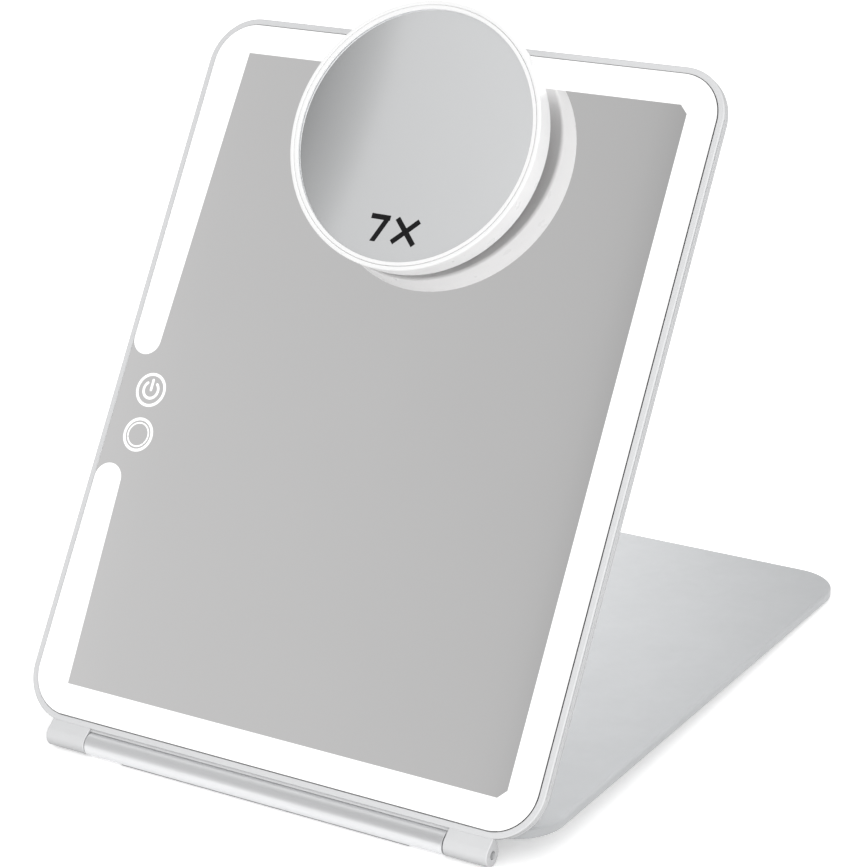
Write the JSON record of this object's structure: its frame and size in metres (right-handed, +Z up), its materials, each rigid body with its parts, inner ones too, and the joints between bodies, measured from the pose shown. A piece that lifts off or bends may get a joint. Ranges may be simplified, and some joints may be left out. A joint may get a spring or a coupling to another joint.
{
  "type": "lighted makeup mirror",
  "caption": "Slim rectangular makeup mirror with a lit edge, hinged to a flat folding cover that serves as its stand, with a round magnifier held on the glass by a suction cup.",
  "frame": {"origin": "on the table, midway along the hinge and straight below its axis, on the rubber strip's underside", "axes": "+X to the right of someone who looks into the mirror, +Y behind the mirror along the cover, +Z up"},
  "size_m": [0.1946, 0.2437, 0.2328],
  "materials": {
    "cover": "satin metallic silver paint",
    "stiffener": "plain sheet",
    "liner": "fine matt texture",
    "barrel": "satin anodised",
    "rubber": "matt light grey",
    "steel": "plain",
    "frame": "satin silver-white paint",
    "shell": "satin silver-grey paint",
    "mirror": "silvered, with a frosted lit band round its edge",
    "diffuser": "opal",
    "board": "circuit board",
    "cell": "pouch foil",
    "cup": "clear soft vinyl",
    "white_plastic": "gloss white",
    "magnifier_mirror": "silvered, hollow curve"
  },
  "bodies": {
    "cover": {"cover_shell": "cover", "cover_stiffener": "stiffener", "cover_liner": "liner", "hinge_barrel": "barrel", "barrel_strip": "rubber", "hinge_insert_left": "steel", "hinge_insert_right": "steel", "cover_bumper_left": "rubber", "cover_bumper_right": "rubber"},
    "panel": {"front_frame": "frame", "rear_shell": "shell", "mirror_glass": "mirror", "diffuser_ring": "diffuser", "hinge_pin_left": "steel", "hinge_pin_right": "steel", "led_strip_right": "board", "led_strip_left_lower": "board", "led_strip_left_upper": "board", "led_strip_bottom": "board", "led_strip_top": "board", "control_board": "board", "touch_pad_power": "steel", "touch_pad_mode": "steel", "charge_socket": "steel", "battery_cell_left": "cell", "battery_cell_right": "cell"},
    "magnifier": {"suction_cup": "cup", "magnifier_housing": "white_plastic", "magnifier_lens": "magnifier_mirror", "magnifier_ring": "white_plastic"}
  },
  "joints": [
    {"name": "panel_hinge", "type": "hinge", "parent": "cover", "child": "panel", "pos_m": [0, 0, 0.00415], "axis": [1, 0, 0], "range_deg": [-2.5, 291]},
    {"name": "magnifier_lift", "type": "slide", "parent": "panel", "child": "magnifier", "axis": [0, -0.8387, 0.5446], "range_m": [0, 0.015]}
  ]
}
